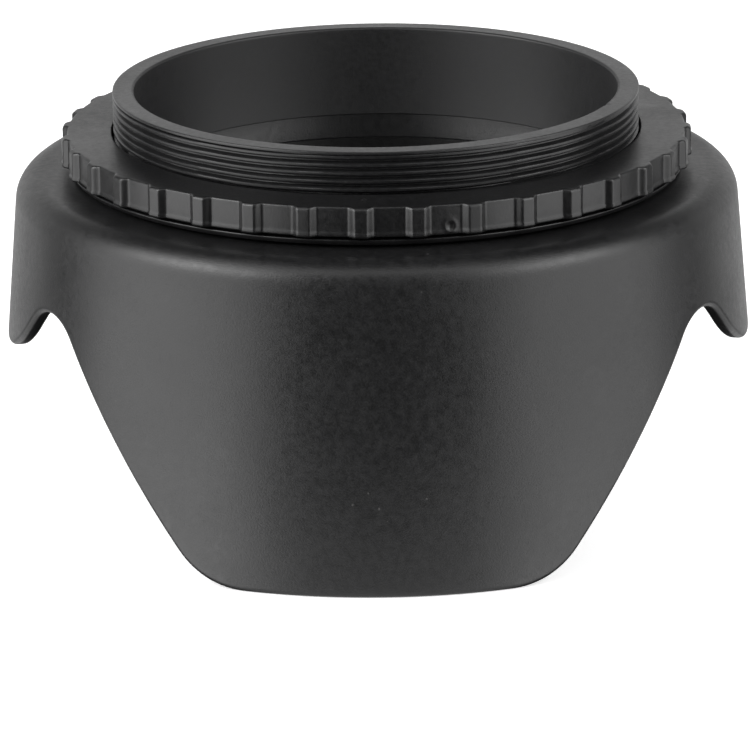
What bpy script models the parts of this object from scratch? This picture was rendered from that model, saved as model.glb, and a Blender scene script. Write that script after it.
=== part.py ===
"""Screw-in petal lens hood, standing on the tips of its two long petals.

Three pieces, all turned about the optical axis, which is the world Z axis:
  petal_shade      the flared shade with two long and two short petals
  threaded_collar  the M49 x 0.75 male threaded collar seated in its throat
  locking_ring     the ribbed ring that turns on the collar's thread
The origin is on the optical axis, in the plane of the long petals' tips.
"""

import math

import bpy
from mathutils import Matrix

MM = 0.001

# Whole hood
RIM_Z = 37.75                # top of the threaded collar above the petal tips

# Petal shade: a cone whose outside grows towards the petals
CONE_R_AT_TIPS = 36.15
CONE_SLOPE = 0.0859          # loss of outer radius for each mm of height
WALL = 1.6
SHOULDER_R = 2.5             # outer rounding between the cone and the top face
SHOULDER_TOP_Z = 30.1
LIP_BORE_R = 22.75           # ledge that the collar stands on
LIP_SEAT_Z = 28.87
LIP_FOOT_Z = 26.65
LIP_FOOT_R = 24.9
CEILING_LIP_R = 26.3
THROAT_R = 24.35             # bore that takes the collar's spigot
SHADE_STEPS = 96

# Petals, as corner points of the cut edge: angle from the middle of a long
# petal in degrees, height in mm, and the fillet radius at that corner
LONG_TIP = (25.73, 0.0, 8.4)
NOTCH = (59.29, 23.07, 5.1)
SHORT_TIP = (76.26, 13.95, 18.1)
UNROLL_R = 34.5              # radius at which the edge is laid out flat
FILLET_STEPS = 9
EDGE_STEP_DEG = 2.0          # longest step round the hood along the cut edge

# Threaded collar, M49 x 0.75
THREAD_CREST_R = 24.5
THREAD_ROOT_R = 24.04
THREAD_PITCH = 0.75
FIRST_CREST_DROP = 0.48      # first crest below the rim
CRESTS = 8
COLLAR_BORE_R = 22.51
RIM_CHAMFER = 0.2
FLANGE_R = 28.7
FLANGE_TOP_Z = 30.9
FLANGE_CHAMFER = 0.1
FLANGE_FOOT_Z = 30.38
SPIGOT_FOOT_Z = 29.12
COLLAR_STEPS = 72

# Locking ring
RING_BORE_R = 24.8
RING_TOP_Z = 33.94
RING_FOOT_Z = 31.18
RING_TIP_R = 29.43
RING_PANEL_R = 28.9
RING_CHAMFER = 0.25
RIBS = 36
RIB_TIP_DEG = 2.0            # angle that a rib's tip takes up
RIB_FOOT_DEG = 4.6           # angle that it takes up at the panels
FIRST_RIB_DEG = -92.37       # a rib's middle, measured from +X
RING_STEPS = 144


def clear_scene():
    """Remove whatever the open file holds."""
    for obj in list(bpy.data.objects):
        bpy.data.objects.remove(obj, do_unlink=True)


def new_collection(name):
    made = bpy.data.collections.new(name)
    bpy.context.scene.collection.children.link(made)
    return made


def plastic(name, colour, roughness):
    """A moulded plastic with one colour and one roughness."""
    made = bpy.data.materials.new(name)
    made.use_nodes = True
    shader = made.node_tree.nodes["Principled BSDF"]
    shader.inputs["Base Color"].default_value = (*colour, 1.0)
    shader.inputs["Roughness"].default_value = roughness
    shader.inputs["Metallic"].default_value = 0.0
    return made


def mesh_object(name, points, edges, faces, collection):
    mesh = bpy.data.meshes.new(name)
    mesh.from_pydata(points, edges, faces)
    mesh.update()
    obj = bpy.data.objects.new(name, mesh)
    collection.objects.link(obj)
    return obj


def turned(name, profile, steps, collection):
    """A closed (radius, height) outline in mm, spun round the world Z axis."""
    points = [(r * MM, 0.0, z * MM) for r, z in profile]
    edges = [(i, (i + 1) % len(points)) for i in range(len(points))]
    obj = mesh_object(name, points, edges, [], collection)
    screw = obj.modifiers.new("Turn", "SCREW")
    screw.axis = "Z"
    screw.angle = math.tau
    screw.steps = steps
    screw.render_steps = steps
    screw.use_merge_vertices = True
    screw.merge_threshold = 1e-6
    return obj


def applied(obj):
    """Bake the object's modifiers into its mesh."""
    graph = bpy.context.evaluated_depsgraph_get()
    mesh = bpy.data.meshes.new_from_object(obj.evaluated_get(graph))
    obj.modifiers.clear()
    obj.data = mesh
    return obj


def cut(obj, cutter):
    boolean = obj.modifiers.new("Cut " + cutter.name, "BOOLEAN")
    boolean.operation = "DIFFERENCE"
    boolean.solver = "EXACT"
    boolean.object = cutter


def finish(obj, material):
    """Give the object its material and smooth shading with crisp edges."""
    obj.data.materials.clear()
    obj.data.materials.append(material)
    for face in obj.data.polygons:
        face.use_smooth = True
    obj.data.set_sharp_from_angle(angle=math.radians(30))
    return obj


def arc(centre, radius, start_deg, end_deg, steps):
    """Points on a circular arc from one angle to the other, ends included."""
    made = []
    for i in range(steps + 1):
        turn = math.radians(start_deg + (end_deg - start_deg) * i / steps)
        made.append((centre[0] + radius * math.cos(turn),
                     centre[1] + radius * math.sin(turn)))
    return made


def cone_r(z):
    """Outer radius of the shade's cone at height z."""
    return CONE_R_AT_TIPS - CONE_SLOPE * z


def shade_profile():
    """Outline of the uncut shade: down the outside, then up the inside."""
    lean = math.degrees(math.atan(CONE_SLOPE))
    stretch = math.hypot(1.0, CONE_SLOPE)
    centre_z = SHOULDER_TOP_Z - SHOULDER_R
    centre = (cone_r(centre_z) - SHOULDER_R * stretch, centre_z)
    outside = arc(centre, SHOULDER_R, 90.0, lean, 8)
    inside = arc(centre, SHOULDER_R - WALL, lean, 90.0, 5)
    wall_foot_r = CONE_R_AT_TIPS - WALL * stretch
    throat = [
        (CEILING_LIP_R, SHOULDER_TOP_Z - WALL),
        (LIP_FOOT_R, LIP_FOOT_Z),
        (LIP_BORE_R, LIP_FOOT_Z),
        (LIP_BORE_R, LIP_SEAT_Z),
        (THROAT_R, LIP_SEAT_Z),
        (THROAT_R, SHOULDER_TOP_Z),
    ]
    return outside + [(CONE_R_AT_TIPS, 0.0), (wall_foot_r, 0.0)] + inside + throat


def filleted(corners, radii):
    """A polyline whose inner corners are rounded with the radii given."""
    made = [corners[0]]
    for before, corner, after, radius in zip(corners, corners[1:], corners[2:], radii):
        into = math.atan2(corner[1] - before[1], corner[0] - before[0])
        out = math.atan2(after[1] - corner[1], after[0] - corner[0])
        bend = out - into
        side = math.copysign(1.0, bend)
        back = radius * math.tan(abs(bend) / 2)
        start = (corner[0] - back * math.cos(into), corner[1] - back * math.sin(into))
        centre = (start[0] - side * radius * math.sin(into),
                  start[1] + side * radius * math.cos(into))
        first = math.degrees(into) - side * 90.0
        made += arc(centre, radius, first, first + math.degrees(bend), FILLET_STEPS)
    return made + [corners[-1]]


def petal_edge():
    """(angle in degrees, height in mm) from mid long petal to mid short petal."""
    unroll = UNROLL_R * math.radians(1.0)
    corners = [(0.0, LONG_TIP[1])]
    corners += [(deg * unroll, z) for deg, z, _ in (LONG_TIP, NOTCH, SHORT_TIP)]
    corners.append((90.0 * unroll, SHORT_TIP[1]))
    rounded = filleted(corners, [LONG_TIP[2], NOTCH[2], SHORT_TIP[2]])
    edge = []
    for (run, z), (next_run, next_z) in zip(rounded, rounded[1:]):
        pieces = max(1, math.ceil((next_run - run) / (EDGE_STEP_DEG * unroll)))
        for i in range(pieces):
            share = i / pieces
            edge.append(((run + share * (next_run - run)) / unroll,
                         z + share * (next_z - z)))
    return edge + [(90.0, SHORT_TIP[1])]


def petal_cutter(collection):
    """The closed band of space below the cut edge, lofted round the hood."""
    quarter = petal_edge()
    mirrored = [(180.0 - deg, z) for deg, z in reversed(quarter)]
    half = quarter[:-1] + mirrored[:-1]
    whole = half + [(deg + 180.0, z) for deg, z in half]
    inner_r, outer_r, floor_z = 27.0, 42.0, -8.0
    sunk = 0.02              # the long petals keep their tips at height zero
    points = []
    for deg, z in whole:
        turn = math.radians(deg - 90.0)
        top_z = z - sunk if z < sunk else z
        for r, height in ((inner_r, floor_z), (outer_r, floor_z),
                          (outer_r, top_z), (inner_r, top_z)):
            points.append((r * math.cos(turn) * MM, r * math.sin(turn) * MM,
                           height * MM))
    count = len(whole)
    faces = []
    for i in range(count):
        a, b = 4 * i, 4 * ((i + 1) % count)
        for k in range(4):
            n = (k + 1) % 4
            faces.append((a + k, b + k, b + n, a + n))
    return mesh_object("petal_cutter", points, [], faces, collection)


def collar_profile():
    """Outline of the collar: down the thread and flange, then up the bore."""
    outside = [(COLLAR_BORE_R + RIM_CHAMFER, RIM_Z),
               (THREAD_CREST_R - RIM_CHAMFER, RIM_Z),
               (THREAD_CREST_R, RIM_Z - RIM_CHAMFER)]
    for i in range(CRESTS):
        crest_z = RIM_Z - FIRST_CREST_DROP - i * THREAD_PITCH
        outside.append((THREAD_CREST_R, crest_z))
        outside.append((THREAD_ROOT_R, crest_z - THREAD_PITCH / 2))
    below = [(THREAD_ROOT_R, FLANGE_TOP_Z),
             (FLANGE_R - FLANGE_CHAMFER, FLANGE_TOP_Z),
             (FLANGE_R, FLANGE_TOP_Z - FLANGE_CHAMFER),
             (FLANGE_R, FLANGE_FOOT_Z),
             (THREAD_ROOT_R, FLANGE_FOOT_Z),
             (THREAD_ROOT_R, SPIGOT_FOOT_Z),
             (COLLAR_BORE_R, SPIGOT_FOOT_Z),
             (COLLAR_BORE_R, RIM_Z - RIM_CHAMFER)]
    return outside + below


def ring_profile():
    """Outline of the ring at its rib tips, with chamfered outer edges."""
    return [(RING_BORE_R + RING_CHAMFER, RING_TOP_Z),
            (RING_TIP_R - RING_CHAMFER, RING_TOP_Z),
            (RING_TIP_R, RING_TOP_Z - RING_CHAMFER),
            (RING_TIP_R, RING_FOOT_Z + RING_CHAMFER),
            (RING_TIP_R - RING_CHAMFER, RING_FOOT_Z),
            (RING_BORE_R + RING_CHAMFER, RING_FOOT_Z),
            (RING_BORE_R, RING_FOOT_Z + RING_CHAMFER),
            (RING_BORE_R, RING_TOP_Z - RING_CHAMFER)]


def panel_cutter(collection):
    """All the recesses between the ribs, as one mesh of separate closed blocks."""
    outer_r = RING_TIP_R + 1.5
    top_z, foot_z = RING_TOP_Z + 1.0, RING_FOOT_Z - 1.0
    pitch = 360.0 / RIBS
    tip_half = (pitch - RIB_TIP_DEG) / 2
    foot_half = (pitch - RIB_FOOT_DEG) / 2
    flare = (tip_half - foot_half) / (RING_TIP_R - RING_PANEL_R)
    outer_half = tip_half + flare * (outer_r - RING_TIP_R)
    rows = ((RING_PANEL_R, (-foot_half, -foot_half / 3, foot_half / 3, foot_half)),
            (outer_r, (outer_half, outer_half / 3, -outer_half / 3, -outer_half)))
    points, faces = [], []
    for i in range(RIBS):
        middle = FIRST_RIB_DEG + (i + 0.5) * pitch
        base = len(points)
        for z in (foot_z, top_z):
            for r, turns in rows:
                for off in turns:
                    turn = math.radians(middle + off)
                    points.append((r * math.cos(turn) * MM, r * math.sin(turn) * MM,
                                   z * MM))
        loop = list(range(8))
        faces.append([base + k for k in loop])
        faces.append([base + 8 + k for k in reversed(loop)])
        for k in loop:
            n = (k + 1) % 8
            faces.append([base + k, base + 8 + k, base + 8 + n, base + n])
    return mesh_object("panel_cutter", points, [], faces, collection)


def seat(obj, height):
    """Bring the object's origin up the axis to a height, its shape staying put."""
    obj.data.transform(Matrix.Translation((0.0, 0.0, -height * MM)))
    obj.location.z = height * MM


def hide(cutter):
    cutter.hide_render = True
    cutter.display_type = "WIRE"
    return cutter


def face_outwards(obj):
    """Turn every face of a closed mesh so that it looks away from the solid."""
    bpy.context.view_layer.objects.active = obj
    obj.select_set(True)
    bpy.ops.object.mode_set(mode="EDIT")
    bpy.ops.mesh.select_all(action="SELECT")
    bpy.ops.mesh.normals_make_consistent(inside=False)
    bpy.ops.object.mode_set(mode="OBJECT")
    obj.select_set(False)


clear_scene()
hood = new_collection("petal_lens_hood")
cutters = new_collection("cutters")
cutters.hide_render = True

black_shade = plastic("black_shade_plastic", (0.022, 0.022, 0.023), 0.5)
black_collar = plastic("black_collar_plastic", (0.020, 0.020, 0.021), 0.42)
black_ring = plastic("black_ring_plastic", (0.021, 0.021, 0.022), 0.45)

# The shade: turned whole, then its open end cut to the petals' edge
shade = applied(turned("petal_shade", shade_profile(), SHADE_STEPS, hood))
petals = hide(petal_cutter(cutters))
face_outwards(petals)
cut(shade, petals)
finish(applied(shade), black_shade)

# The collar: one turned piece
collar = applied(turned("threaded_collar", collar_profile(), COLLAR_STEPS, hood))
finish(collar, black_collar)
seat(collar, FLANGE_FOOT_Z)

# The ring: turned at the rib tips, then the panels between the ribs cut back
ring = applied(turned("locking_ring", ring_profile(), RING_STEPS, hood))
panels = hide(panel_cutter(cutters))
face_outwards(panels)
cut(ring, panels)
finish(applied(ring), black_ring)
seat(ring, (RING_TOP_Z + RING_FOOT_Z) / 2)
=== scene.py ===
import bpy
import numpy as np
from mathutils import Matrix, Vector


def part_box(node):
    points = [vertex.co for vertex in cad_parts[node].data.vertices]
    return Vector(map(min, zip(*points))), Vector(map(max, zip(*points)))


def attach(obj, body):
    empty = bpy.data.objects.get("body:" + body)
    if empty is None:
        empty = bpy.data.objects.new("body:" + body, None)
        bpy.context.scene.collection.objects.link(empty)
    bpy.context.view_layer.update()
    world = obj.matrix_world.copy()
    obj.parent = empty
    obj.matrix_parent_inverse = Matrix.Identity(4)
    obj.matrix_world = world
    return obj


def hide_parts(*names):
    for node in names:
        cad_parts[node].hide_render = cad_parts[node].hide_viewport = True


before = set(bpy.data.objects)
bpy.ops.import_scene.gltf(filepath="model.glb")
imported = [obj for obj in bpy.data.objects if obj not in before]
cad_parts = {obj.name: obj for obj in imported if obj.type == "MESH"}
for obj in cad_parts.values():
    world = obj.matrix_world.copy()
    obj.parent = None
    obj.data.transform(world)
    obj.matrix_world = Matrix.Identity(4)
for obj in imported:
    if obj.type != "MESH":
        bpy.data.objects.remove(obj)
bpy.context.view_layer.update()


# ---------------------------------------------------------------------------
# The petal shade: one injection moulding in black ABS. Its outside is spark
# eroded to a fine matt grain, and its open end is cut into two long and two
# short petals with softly rounded edges. The collar is set into its throat.
# ---------------------------------------------------------------------------
MM = 0.001
SHADE_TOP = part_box("petal_shade")[1].z / MM
# The outer radius at the tips, and what it loses in each millimetre of height.
CONE_AT_TIPS, CONE_LEAN = 36.15, 0.0859
WALL, SHOULDER, EDGE_ROUND = 1.6, 2.5, 0.55
THROAT, THROAT_ROUND, LIP, LIP_ROUND = 24.35, 0.2, 22.6, 0.2
SEAT, LIP_FOOT = SHADE_TOP - 1.0, SHADE_TOP - 3.45
POCKET_FOOT, POCKET_TOP = 24.9, 26.3
# One quarter of the edge: the turn in degrees, height and radius of its three
# corners, which are the long petal's corner, the notch and the short petal's corner.
PETAL_CORNERS = ((25.83, 0.0, 8.4), (59.25, 22.82, 4.87), (75.5, 14.38, 15.0))
MEAN_RADIUS = 34.5
UNROLL = MEAN_RADIUS * np.pi / 180
SHARP_ANGLE = 38


def place(turn, radius, height):
    """Points in metres from degrees (0 at -Y, growing towards +X), radius and height in mm."""
    turn = np.radians(turn)
    spots = np.stack([radius * np.sin(turn), -radius * np.cos(turn), height], -1)
    return spots * MM


def ring_mesh(name, spots):
    """A closed skin on a grid of (columns, rows, 3) points, which closes both ways round."""
    columns, rows = spots.shape[:2]
    index = np.arange(columns * rows).reshape(columns, rows)
    down = np.roll(index, -1, 1)
    quads = np.stack([index, down, np.roll(down, -1, 0), np.roll(index, -1, 0)], -1)
    quads = quads.reshape(-1, 4)
    mesh = bpy.data.meshes.new(name)
    mesh.vertices.add(spots.size // 3)
    mesh.vertices.foreach_set("co", spots.ravel().astype(np.float32))
    mesh.loops.add(quads.size)
    mesh.loops.foreach_set("vertex_index", quads.ravel().astype(np.int32))
    mesh.polygons.add(len(quads))
    mesh.polygons.foreach_set("loop_start", np.arange(0, quads.size, 4, dtype=np.int32))
    mesh.update(calc_edges=True)
    mesh.validate()
    mesh.shade_smooth()
    mesh.set_sharp_from_angle(angle=np.radians(SHARP_ANGLE))
    piece = bpy.data.objects.new(name, mesh)
    bpy.context.scene.collection.objects.link(piece)
    return piece


def sweep(centre, radius, start, end, count):
    """(radius, height) pairs on an arc of the outline, from one angle in degrees to another."""
    turn = np.radians(np.linspace(start, end, count))
    return np.stack([centre[0] + radius * np.cos(turn), centre[1] + radius * np.sin(turn)], -1)


def petal_edge(count):
    """The cut edge of a quarter turn, laid flat: straight runs joined by arcs, spaced evenly.

    A corner's arc touches both runs at its radius times the tangent of half the turn
    between them, and its centre lies one radius to the side that the edge turns to.
    """
    knots = [(0.0, PETAL_CORNERS[0][1])]
    knots += [(turn * UNROLL, height) for turn, height, _ in PETAL_CORNERS]
    knots = np.array(knots + [(90 * UNROLL, PETAL_CORNERS[-1][1])])
    runs = [knots[:1]]
    for before, knot, after, corner in zip(knots, knots[1:], knots[2:], PETAL_CORNERS):
        into, out = np.arctan2(*(knot - before)[::-1]), np.arctan2(*(after - knot)[::-1])
        side = np.sign(out - into)
        back = corner[2] * np.tan(abs(out - into) / 2)
        start = knot - back * np.array([np.cos(into), np.sin(into)])
        centre = start + side * corner[2] * np.array([-np.sin(into), np.cos(into)])
        first = np.degrees(into) - 90 * side
        runs.append(sweep(centre, corner[2], first, first + np.degrees(out - into), 60))
    line = np.concatenate(runs + [knots[-1:]])
    along = np.concatenate([[0], np.cumsum(np.hypot(*np.diff(line, axis=0).T))])
    even = np.linspace(0, along[-1], count + 1)[:-1]
    return np.stack([np.interp(even, along, line[:, k]) for k in (0, 1)], -1)


def shade_skin():
    """The shade's closed cross-section turned round the axis, its foot on the petals' edge."""
    quarter = petal_edge(130)
    turned_back = np.concatenate([[[90 * UNROLL, PETAL_CORNERS[-1][1]]], quarter[:0:-1]])
    turned_back[:, 0] = 180 * UNROLL - turned_back[:, 0]
    half = np.concatenate([quarter, turned_back])
    edge = np.concatenate([half, half + [180 * UNROLL, 0]])
    ahead = np.roll(edge, -1, 0) + np.eye(len(edge))[-1][:, None] * [360 * UNROLL, 0]
    behind = np.roll(edge, 1, 0) - np.eye(len(edge))[0][:, None] * [360 * UNROLL, 0]
    along = ahead - behind
    along /= np.hypot(*along.T)[:, None]
    inward = np.stack([-along[:, 1], along[:, 0]], -1)
    foot = edge + EDGE_ROUND * inward

    lean = np.degrees(np.arctan(CONE_LEAN))
    stretch = np.hypot(1, CONE_LEAN)
    middle = (CONE_AT_TIPS - CONE_LEAN * (SHADE_TOP - SHOULDER) - SHOULDER * stretch,
              SHADE_TOP - SHOULDER)
    outer_arc = sweep(middle, SHOULDER, 90, lean, 16)
    inner_arc = sweep(middle, SHOULDER - WALL, lean, 90, 9)
    mouth_middle = (THROAT + THROAT_ROUND, SHADE_TOP - THROAT_ROUND)
    mouth = np.concatenate([
        [(THROAT, SEAT), (THROAT, SHADE_TOP - THROAT_ROUND)],
        sweep(mouth_middle, THROAT_ROUND, 180, 90, 4),
        np.stack([np.linspace(THROAT + 0.6, middle[0] - 0.5, 9), np.full(9, SHADE_TOP)], -1)])
    # Back inwards under the top: the ceiling, a pocket's slope, and the lip below the collar.
    ceiling = np.concatenate([
        np.stack([np.linspace(middle[0] - 0.6, POCKET_TOP + 0.3, 6),
                  np.full(6, SHADE_TOP - WALL)], -1),
        [(POCKET_TOP, SHADE_TOP - WALL - 0.05),
         (POCKET_FOOT + 0.2, LIP_FOOT + 0.15), (POCKET_FOOT, LIP_FOOT)],
        [(LIP + LIP_ROUND, LIP_FOOT)],
        sweep((LIP + LIP_ROUND, LIP_FOOT + LIP_ROUND), LIP_ROUND, 270, 180, 4),
        [(LIP, SEAT - 0.04), (LIP + 0.04, SEAT)]])

    def fixed(outline):
        """An outline that is the same on every column."""
        return (np.broadcast_to(edge[:, :1] / UNROLL, (len(edge), len(outline))),
                np.broadcast_to(outline[:, 0], (len(edge), len(outline))),
                np.broadcast_to(outline[:, 1], (len(edge), len(outline))))

    def wall(share, top, inset):
        """Down the cone: from the shoulder (share 0) to the rounding of the edge (share 1)."""
        height = top + (foot[:, 1:] - top) * share
        turn = (edge[:, :1] + (foot[:, :1] - edge[:, :1]) * share ** 3) / UNROLL
        return turn, CONE_AT_TIPS - CONE_LEAN * height - inset, height

    def lip_of_edge():
        """Round the cut edge: an outer arc, the flat of the cut, and an inner arc."""
        arc = np.radians(np.linspace(0, 90, 8))
        flat = np.linspace(EDGE_ROUND, WALL - EDGE_ROUND, 4)[1:-1]
        inset = np.concatenate([EDGE_ROUND * (1 - np.cos(arc)), flat,
                                WALL - EDGE_ROUND * (1 - np.cos(arc[::-1]))])
        depth = np.concatenate([EDGE_ROUND * (1 - np.sin(arc)), 0 * flat,
                                EDGE_ROUND * (1 - np.sin(arc[::-1]))])
        spot = edge[:, None, :] + inward[:, None, :] * depth[None, :, None]
        return (spot[..., 0] / UNROLL,
                CONE_AT_TIPS - CONE_LEAN * spot[..., 1] - inset * stretch, spot[..., 1])

    down = np.linspace(0, 1, 44)[None, 1:-1]
    up = np.linspace(1, 0, 32)[None, 1:-1]
    parts = [fixed(mouth), fixed(outer_arc), wall(down, outer_arc[-1, 1], 0), lip_of_edge(),
             wall(up, inner_arc[0, 1], WALL * stretch), fixed(inner_arc), fixed(ceiling)]
    turn, radius, height = [np.concatenate(rows, 1) for rows in zip(*parts)]
    return place(turn, radius, np.maximum(height, 0))


class Wire:
    """A socket in a finish. Python's own operators on it add Math nodes."""

    def __init__(self, finish, socket):
        self.finish, self.socket = finish, socket

    def math(self, operation, *values):
        return self.finish.node("Math", {"operation": operation}, dict(enumerate(values)))

    def __add__(self, other):
        return self.math("ADD", self, other)

    def __sub__(self, other):
        return self.math("SUBTRACT", self, other)

    def __rsub__(self, other):
        return self.math("SUBTRACT", other, self)

    def __mul__(self, other):
        return self.math("MULTIPLY", self, other)

    __radd__ = __add__
    __rmul__ = __mul__


class Finish:
    """A material made of nodes, with its Principled shader at hand."""

    def __init__(self, name):
        self.material = bpy.data.materials.new(name)
        self.material.use_nodes = True
        self.tree = self.material.node_tree
        self.shader = self.tree.nodes["Principled BSDF"]
        self.here = self.node("TexCoord", {}, {}, "Object")

    def node(self, kind, settings, sockets, out=0):
        """Add a node: its settings first, then the values or wires of its sockets."""
        made = self.tree.nodes.new("ShaderNode" + kind)
        for key, value in settings.items():
            setattr(made, key, value)
        for key, value in sockets.items():
            self.feed(made.inputs[key], value)
        return Wire(self, made.outputs[out])

    def feed(self, socket, value):
        """Link a wire to a socket, or set the socket to a plain value."""
        if isinstance(value, Wire):
            self.tree.links.new(value.socket, socket)
        else:
            socket.default_value = value

    def noise(self, scale, detail=2.0, roughness=0.5):
        """Soft noise around 0.5, with scale lumps to the metre."""
        return self.node("TexNoise", {}, {"Vector": self.here, "Scale": scale,
                                          "Detail": detail, "Roughness": roughness})

    def between(self, value, low, high):
        """0 below low, 1 above high, and a smooth step in between."""
        return self.node("MapRange", {"interpolation_type": "SMOOTHSTEP"},
                         {"Value": value, "From Min": low, "From Max": high})

    def blend(self, share, first, second):
        """Two colours mixed, each a wire or a plain tuple: share 0 gives the first."""
        return self.node("Mix", {"data_type": "RGBA"},
                         {"Factor": share, 6: (*first, 1) if isinstance(first, tuple) else first,
                          7: (*second, 1) if isinstance(second, tuple) else second}, 2)

    def wear(self, piece):
        piece.data.materials.clear()
        piece.data.materials.append(self.material)


LINT = (0.12, 0.117, 0.113)


def moulded_black(name, tone, rough, grain_size, grain_depth, dust):
    """Black ABS: a spark-eroded grain, drifting gloss, faint rubbed patches and specks of dust.

    The grain's size and depth are in millimetres. Both its fine and its coarse noise shift
    the tint, the gloss and the relief; dust sits only where a broad noise is high.
    """
    finish = Finish(name)
    grain = finish.noise(1 / (grain_size * MM), 3.0, 0.6)
    coarse = finish.noise(1 / (grain_size * 4 * MM), 2.0)
    drift = finish.noise(110.0, 3.0)
    rubbed = finish.between(finish.noise(260.0, 5.0, 0.65), 0.58, 0.72)
    specks = finish.node("TexVoronoi", {"feature": "F1"},
                         {"Vector": finish.here, "Scale": 520.0, "Randomness": 1.0})
    ragged = specks + (finish.noise(2400.0) - 0.5) * 0.16
    lint = (1 - finish.between(ragged, 0.02, 0.075)) * finish.between(finish.noise(90.0), 0.5, 0.62)
    tint = finish.blend(finish.between(coarse * 0.5 + grain * 0.5, 0.36, 0.64),
                        tuple(0.8 * t for t in tone), tuple(1.25 * t for t in tone))
    tint = finish.blend(rubbed * 0.35, tint, tuple(2.0 * t for t in tone))
    finish.feed(finish.shader.inputs["Base Color"],
                finish.blend(lint * dust, tint, LINT))
    finish.gloss = ((grain - 0.5) * 0.14 + (coarse - 0.5) * 0.18 + (drift - 0.5) * 0.16
                    - rubbed * 0.05 + lint * 0.2 + rough)
    finish.feed(finish.shader.inputs["Roughness"], finish.gloss)
    relief = finish.node("Bump", {}, {"Strength": 1.0, "Distance": grain_depth * MM,
                                      "Height": grain * 0.7 + coarse * 0.3})
    finish.feed(finish.shader.inputs["Normal"], relief)
    return finish


shade = ring_mesh("petal_shade_moulding", shade_skin())
shade_finish = moulded_black("grained_black_abs", (0.007, 0.007, 0.0073), 0.38, 0.16, 0.02, 0.35)
shade_finish.wear(shade)
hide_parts("petal_shade")
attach(shade, "hood")


# ---------------------------------------------------------------------------
# The threaded collar: a second black moulding with the M49 x 0.75 male thread,
# a plain rim that meets the lens, and a flange and spigot that seat it in the
# shade. Moulded smoother than the shade, so it keeps a soft satin shine.
# ---------------------------------------------------------------------------
collar_low, collar_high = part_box("threaded_collar")
RIM, SPIGOT = collar_high.z / MM, collar_low.z / MM
CREST, ROOT, PITCH = 24.5, 24.04, 0.75
BORE = 22.51
FLANGE, FLANGE_TOP, FLANGE_FOOT = 28.7, 30.9, 30.38
FIRST_CREST, THREAD_START, RUN_OUT = RIM - 0.48, 60.6, 9
# A tooth's half width at its foot and the width of its flank, in pitches.
TOOTH_FOOT, TOOTH_FLANK = 0.44, 0.32
RIM_BAND, BAND_EDGE, RIM_ROUND, BORE_ROUND = 0.24, 0.1, 0.1, 0.22
SCAR_TURN, SCAR_WIDTH = 68.6, 0.35


def collar_skin():
    """A plain outline turned round the axis, with the thread raised on it by angle and height."""
    turn = np.linspace(-180, 180, 577)[:-1][:, None]
    ring_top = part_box("locking_ring")[1].z / MM
    shown = np.arange(RIM - 0.13, ring_top - 0.1, -0.05)
    hidden = np.arange(ring_top - 0.15, FLANGE_TOP, -0.15)
    height = np.concatenate([shown, hidden])[None, :]
    # Height above the root: a flat-topped tooth wherever the height is a whole
    # number of pitches below the first crest, which climbs a pitch in each turn.
    pitches = (FIRST_CREST + PITCH * turn / 360 - height) / PITCH
    tooth = np.clip((TOOTH_FOOT - np.abs(pitches - np.round(pitches))) / TOOTH_FLANK, 0, 1)
    tooth = tooth * tooth * (3 - 2 * tooth)
    # The first tooth runs out where the thread starts, and none stands above it.
    before = np.clip((THREAD_START - turn) / RUN_OUT, 0, 1)
    tooth *= np.where(pitches < -0.5, 0, np.where(pitches < 0.5, before, 1))
    tooth *= np.clip((height - FLANGE_TOP - 0.1) / 0.4, 0, 1)
    # The plain band under the rim is as wide as the thread.
    band = np.clip((height - RIM + RIM_BAND + BAND_EDGE) / BAND_EDGE, 0, 1)
    threaded = ROOT + (CREST - ROOT) * np.maximum(tooth, band * band * (3 - 2 * band))

    def plain(outline):
        """The radii and heights of an outline that is the same on every column."""
        return (np.broadcast_to(outline[:, 0], (len(turn), len(outline))),
                np.broadcast_to(outline[:, 1], (len(turn), len(outline))))

    rim = np.concatenate([
        sweep((BORE + BORE_ROUND, RIM - BORE_ROUND), BORE_ROUND, 180, 90, 6),
        np.stack([np.linspace(BORE + 0.4, CREST - 0.3, 6), np.full(6, RIM)], -1),
        sweep((CREST - RIM_ROUND, RIM - RIM_ROUND), RIM_ROUND, 90, 0, 5)])
    below = np.concatenate([
        [(ROOT, FLANGE_TOP + 0.02), (ROOT + 0.2, FLANGE_TOP)],
        np.stack([np.linspace(ROOT + 0.8, FLANGE - 0.4, 4), np.full(4, FLANGE_TOP)], -1),
        sweep((FLANGE - 0.08, FLANGE_TOP - 0.08), 0.08, 90, 0, 4),
        [(FLANGE - 0.02, FLANGE_TOP - 0.16), (FLANGE - 0.3, FLANGE_FOOT), (ROOT, FLANGE_FOOT)],
        [(ROOT, SPIGOT + 0.2), (ROOT - 0.2, SPIGOT)],
        [(BORE + 0.03, SPIGOT), (BORE, SPIGOT + 0.03)],
        np.stack([np.full(14, BORE), np.linspace(SPIGOT + 0.5, RIM - 0.5, 14)], -1)])
    parts = [plain(rim), (threaded, np.broadcast_to(height, threaded.shape)), plain(below)]
    radius, level = [np.concatenate(rows, 1) for rows in zip(*parts)]
    # A short scar across the rim's inner edge, where the moulding's gate was broken off.
    across = (turn - SCAR_TURN) * np.pi / 180 * BORE / SCAR_WIDTH
    scar = np.exp(-2 * across ** 2) * (level > RIM - 0.3) * (radius < BORE + 0.5)
    return place(np.broadcast_to(turn, radius.shape), radius + 0.08 * scar, level - 0.06 * scar)


collar = ring_mesh("threaded_collar_moulding", collar_skin())
collar_finish = moulded_black("satin_black_abs", (0.009, 0.009, 0.0094), 0.36, 0.11, 0.01, 0.2)
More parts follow.
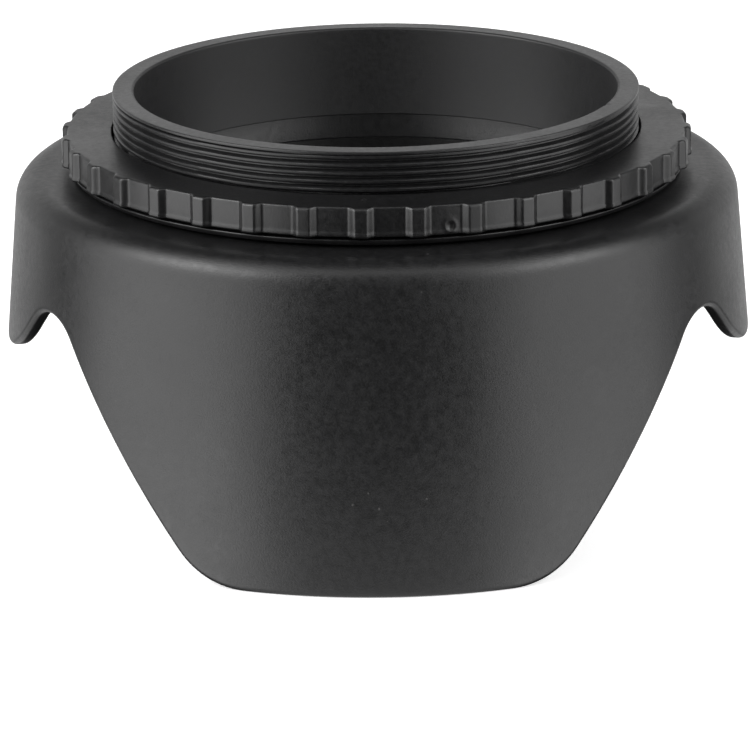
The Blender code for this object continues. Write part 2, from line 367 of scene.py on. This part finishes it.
# The bore is rougher than the outside, so that it throws no light into the lens.
flat_spot = collar_finish.node("VectorMath", {"operation": "MULTIPLY"},
                               {0: collar_finish.here, 1: (1.0, 1.0, 0.0)})
from_axis = collar_finish.node("VectorMath", {"operation": "LENGTH"}, {0: flat_spot}, "Value")
in_bore = 1 - collar_finish.between(from_axis, (BORE + 0.1) * MM, (BORE + 0.3) * MM)
collar_finish.feed(collar_finish.shader.inputs["Roughness"], collar_finish.gloss + in_bore * 0.14)
collar_finish.wear(collar)
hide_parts("threaded_collar")
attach(collar, "hood")


# ---------------------------------------------------------------------------
# The locking ring: a thin black nut with raised finger ribs round its edge,
# run down the collar's thread. Its edges are chamfered in the mould, and faint
# lighter rubbed patches lie scattered over it at random.
# ---------------------------------------------------------------------------
ring_low, ring_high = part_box("locking_ring")
RING_FOOT, RING_TOP = ring_low.z / MM, ring_high.z / MM
RIB_TIP, PANEL, PANEL_INSET = 29.43, 28.9, 0.07
RIBS, FIRST_RIB = 36, -2.37
TIP_HALF, FOOT_HALF = 1.0, 2.3
NUT_BORE, NUT_LEAD_IN = 24.68, 0.1
GATE_TURN, GATE_DROP, GATE_RADIUS = 13.35, 1.95, 0.5
NIB_TURN, NIB_REACH, NIB_RADIUS, NIB_HEIGHT = -1.9, 26.5, 0.28, 0.22


def ring_skin():
    """The nut's outline turned round the axis, its outer radius swelling at every rib."""
    span = 360 / RIBS
    # Columns crowd on a rib's flanks, which start a little outside its foot.
    stops = (-span / 2, -FOOT_HALF - 0.3, -TIP_HALF + 0.4,
             TIP_HALF - 0.4, FOOT_HALF + 0.3, span / 2)
    counts = (9, 10, 4, 10, 9)
    local = np.concatenate([np.linspace(a, b, n, endpoint=False)
                            for a, b, n in zip(stops, stops[1:], counts)])
    turn = (FIRST_RIB + span * np.arange(RIBS)[:, None] + local).ravel()[:, None]
    off = np.abs((turn - FIRST_RIB + span / 2) % span - span / 2)
    # A flank between two roundings, steepest halfway up.
    rise = np.clip((FOOT_HALF - off) / (FOOT_HALF - TIP_HALF), 0, 1)
    rise = rise ** 2 * (3 - 2 * rise) * 0.6 + rise * 0.4
    edge = PANEL + (RIB_TIP - PANEL) * rise
    top_bevel, foot_bevel = 0.22 + 0.14 * rise, 0.16 + 0.06 * rise

    def bevel(size, start, end, foot):
        """The rounding at the top or the foot of the outer edge."""
        angle = np.radians(np.linspace(start, end, 6))[None, :]
        centre = RING_FOOT + size if foot else RING_TOP - size
        return edge - size + size * np.cos(angle), centre + size * np.sin(angle)

    # A witness line where the mould halves met: the panels stand out a little below it.
    share = np.array([0.02, 0.1, 0.25, 0.4, 0.5, 0.58, 0.66, 0.74, 0.82, 0.87, 0.9, 0.94, 0.99])
    drop = RING_TOP - top_bevel + (RING_FOOT - RING_TOP + top_bevel + foot_bevel) * share
    side = edge - PANEL_INSET + PANEL_INSET * np.clip((share - 0.86) / 0.06, 0, 1)
    start = NUT_BORE + NUT_LEAD_IN
    face = np.linspace(0, 1, 26)[None, 1:-1]
    bore_top = sweep((start, RING_TOP - NUT_LEAD_IN), NUT_LEAD_IN, 180, 90, 4)
    bore_foot = sweep((start, RING_FOOT + NUT_LEAD_IN), NUT_LEAD_IN, 270, 180, 4)
    top_radius, top_level = bevel(top_bevel, 90, 0, False)
    foot_radius, foot_level = bevel(foot_bevel, 0, -90, True)
    parts = [
        (bore_top[None, :, 0], bore_top[None, :, 1]),
        (start + (edge - PANEL_INSET - top_bevel - start) * face, RING_TOP + 0 * face),
        (top_radius - PANEL_INSET, top_level), (side, drop), (foot_radius, foot_level),
        (edge - foot_bevel + (start - edge + foot_bevel) * face[:, ::3],
         RING_FOOT + 0 * face[:, ::3]),
        (bore_foot[None, :, 0], bore_foot[None, :, 1])]

    def whole(runs):
        """The runs of the outline side by side, each spread over every column."""
        return np.concatenate([np.broadcast_to(r, (len(turn), r.shape[1])) for r in runs], 1)

    radius, level = [whole(runs) for runs in zip(*parts)]
    # The mould's gate: a shallow round crater with a raised lip on one panel.
    across = np.radians(turn - GATE_TURN) * PANEL
    near = np.hypot(across, level - RING_TOP + GATE_DROP) / GATE_RADIUS
    crater = 0.08 * np.exp(-((near - 1) / 0.3) ** 2) - 0.1 * np.exp(-(near / 0.6) ** 4)
    radius = radius + (radius > PANEL - 0.3) * crater
    # A speck of flash standing on the upper face.
    away = np.hypot(np.radians(turn - NIB_TURN) * NIB_REACH, radius - NIB_REACH) / NIB_RADIUS
    level = level + (level > RING_TOP - 0.02) * NIB_HEIGHT * np.exp(-away ** 2)
    return place(np.broadcast_to(turn, radius.shape), radius, level)


ring = ring_mesh("ribbed_locking_ring", ring_skin())
ring_finish = moulded_black("rubbed_black_abs", (0.0075, 0.0075, 0.0078), 0.36, 0.12, 0.012, 0.3)
ring_finish.wear(ring)
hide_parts("locking_ring")
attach(ring, "locking_ring")


# ---------------------------------------------------------------------------
# The set: a seamless pale table between two tall side softboxes, with smaller
# ones above, a dim back wall, low bounce cards under the edges and an unlit side
# towards the camera, so the black plastic shows long reflections and a deep middle.
# ---------------------------------------------------------------------------
def sheet(name, corners, tone, glow):
    """A flat matt sheet that also shines a little of itself."""
    mesh = bpy.data.meshes.new(name)
    mesh.from_pydata(corners, [], [tuple(range(len(corners)))])
    piece = bpy.data.objects.new(name, mesh)
    bpy.context.scene.collection.objects.link(piece)
    paper = Finish(name + "_paper")
    paper.feed(paper.shader.inputs["Base Color"], (tone, tone, tone, 1))
    paper.feed(paper.shader.inputs["Roughness"], 0.9)
    paper.feed(paper.shader.inputs["Specular IOR Level"], 0.0)
    paper.feed(paper.shader.inputs["Emission Color"], (1, 1, 1, 1))
    paper.feed(paper.shader.inputs["Emission Strength"], glow)
    paper.wear(piece)
    return piece


def softbox(name, spot, aim, width, height, glow):
    """An area light whose face shines evenly: its power is glow times pi times its area."""
    light = bpy.data.lights.new(name, "AREA")
    light.shape, light.size, light.size_y = "RECTANGLE", width, height
    light.energy = glow * np.pi * width * height
    lamp = bpy.data.objects.new(name, light)
    bpy.context.scene.collection.objects.link(lamp)
    lamp.location = spot
    lamp.rotation_euler = (Vector(aim) - Vector(spot)).to_track_quat("-Z", "Y").to_euler()
    return lamp


HALF_TABLE, TABLE_DROP = 6, -1e-5
floor = sheet("pale_table", [(-HALF_TABLE, -HALF_TABLE, TABLE_DROP),
                             (HALF_TABLE, -HALF_TABLE, TABLE_DROP),
                             (HALF_TABLE, HALF_TABLE, TABLE_DROP),
                             (-HALF_TABLE, HALF_TABLE, TABLE_DROP)], 0.8, 0.6)
floor.visible_glossy = False
floor.visible_diffuse = False
floor.visible_shadow = False

softbox("left_softbox", (-0.75, -0.49, 0.2), (0, -0.49, 0.2), 1.18, 1.4, 2.75)
softbox("right_softbox", (0.75, -0.49, 0.2), (0, -0.49, 0.2), 1.18, 1.4, 2.1)
softbox("upper_left_softbox", (-0.7, -0.35, 0.62), (0, 0, 0), 0.6, 0.35, 6.3)
softbox("upper_right_softbox", (0.7, -0.35, 0.62), (0, 0, 0), 0.6, 0.35, 3.2)
softbox("high_left_softbox", (-0.62, -0.2, 0.9), (0, 0, 0), 0.7, 0.5, 1.6)
softbox("high_right_softbox", (0.62, -0.2, 0.9), (0, 0, 0), 0.7, 0.5, 1.4)
softbox("top_softbox", (0, -0.45, 0.95), (0, 0, 0), 0.7, 0.4, 1.4)
softbox("back_wall", (0, 1.2, 0.1), (0, 0, 0.1), 3.8, 1.4, 0.8)
softbox("table_bounce", (0, -0.053, -0.002), (0, -0.053, 1), 0.14, 0.038, 0.9)
softbox("left_table_bounce", (-0.05, 0, -0.002), (-0.05, 0, 1), 0.03, 0.04, 1.0)
softbox("right_table_bounce", (0.05, 0, -0.002), (0.05, 0, 1), 0.03, 0.04, 1.0)

world = bpy.data.worlds.new("studio_air")
bpy.context.scene.world = world
world.use_nodes = True
air = world.node_tree.nodes["Background"]
seen = world.node_tree.nodes.new("ShaderNodeLightPath")
pick = world.node_tree.nodes.new("ShaderNodeMix")
pick.data_type = "RGBA"
pick.inputs[6].default_value = (0.01, 0.01, 0.01, 1)
pick.inputs[7].default_value = (0.95, 0.95, 0.95, 1)
world.node_tree.links.new(seen.outputs["Is Camera Ray"], pick.inputs["Factor"])
world.node_tree.links.new(pick.outputs[2], air.inputs["Color"])

lens = bpy.data.cameras.new("product_camera")
lens.lens, lens.sensor_width = 233.26, 36.0
lens.shift_x, lens.shift_y = -0.0012, 0.0007
lens.clip_start, lens.clip_end = 0.01, 50
camera = bpy.data.objects.new("product_camera", lens)
bpy.context.scene.collection.objects.link(camera)
TURN, PITCH_DOWN, ROLL = np.radians(0.448), np.radians(17.63), np.radians(-0.654)
AWAY, ABOVE = 0.44309, 0.11207
spot = Matrix.Translation((AWAY * np.sin(TURN), -AWAY * np.cos(TURN), RIM * MM + ABOVE))
camera.matrix_world = (spot @ Matrix.Rotation(TURN, 4, "Z")
                       @ Matrix.Rotation(np.pi / 2 - PITCH_DOWN, 4, "X")
                       @ Matrix.Rotation(ROLL, 4, "Z"))
bpy.context.scene.camera = camera
bpy.context.scene.view_settings.view_transform = "Standard"
